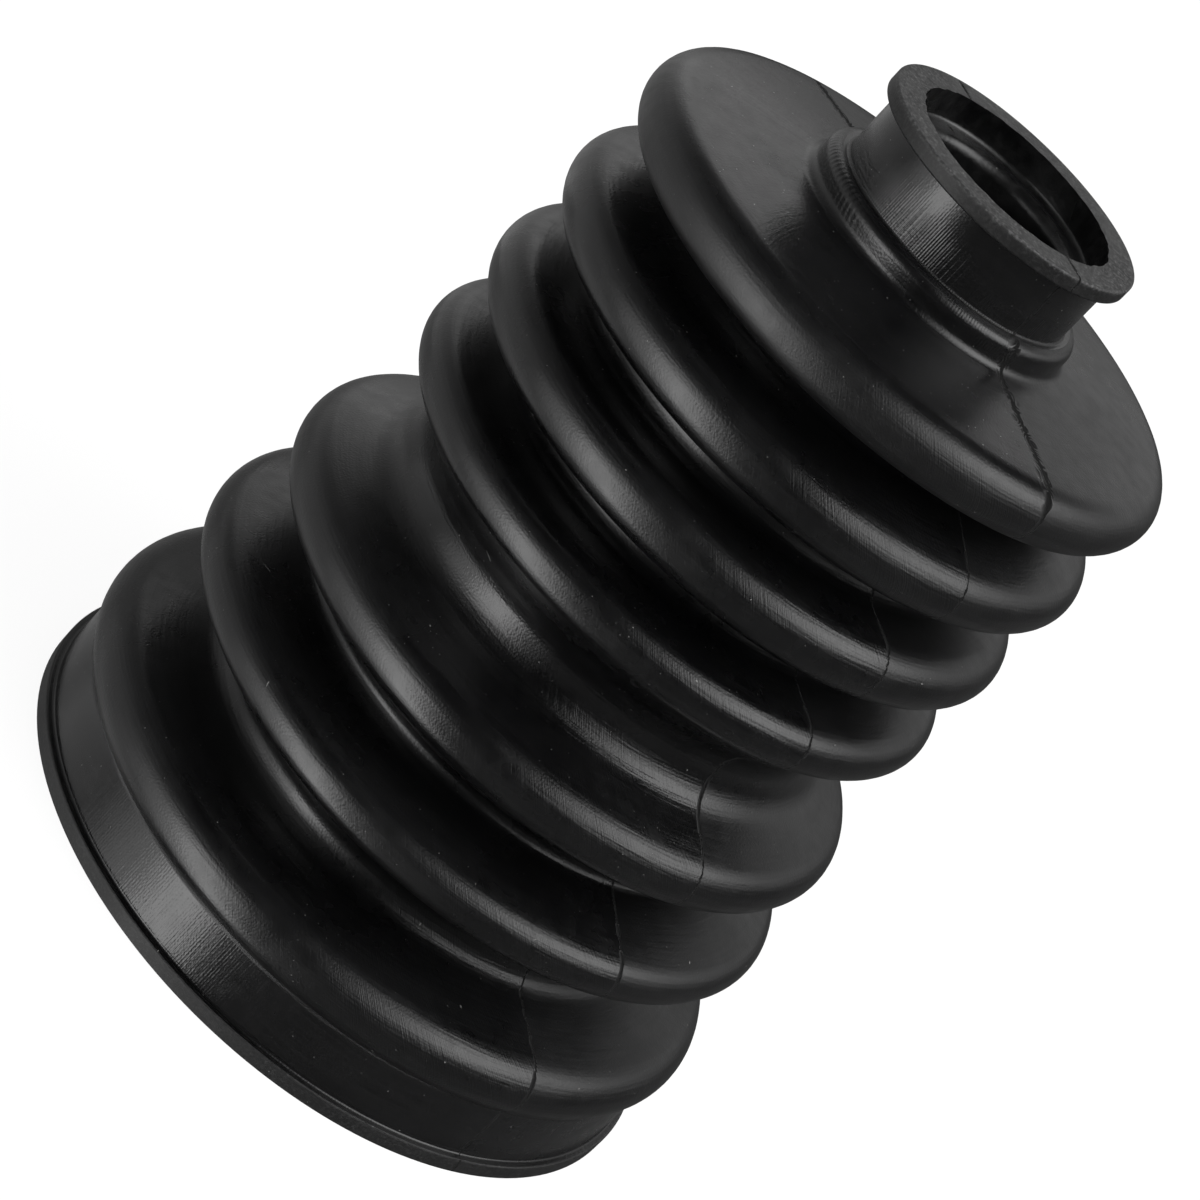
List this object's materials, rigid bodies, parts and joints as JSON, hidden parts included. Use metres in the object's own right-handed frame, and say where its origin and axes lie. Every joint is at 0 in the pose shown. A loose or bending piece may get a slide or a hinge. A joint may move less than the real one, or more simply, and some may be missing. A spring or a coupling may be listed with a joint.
{
  "type": "rubber bellows boot",
  "caption": "Flexible rubber bellows with ring folds, a narrow flanged neck and a wide open cuff, each with a seat for a clamp band.",
  "frame": {"origin": "centre of the large lip's bottom face, where the boot stands", "axes": "+Z along the boot's axis, from the large open end up to the narrow neck"},
  "size_m": [0.0854, 0.0854, 0.116],
  "materials": {
    "rubber": "satin"
  },
  "bodies": {
    "root": {"bellows_boot": "rubber"}
  },
  "joints": []
}
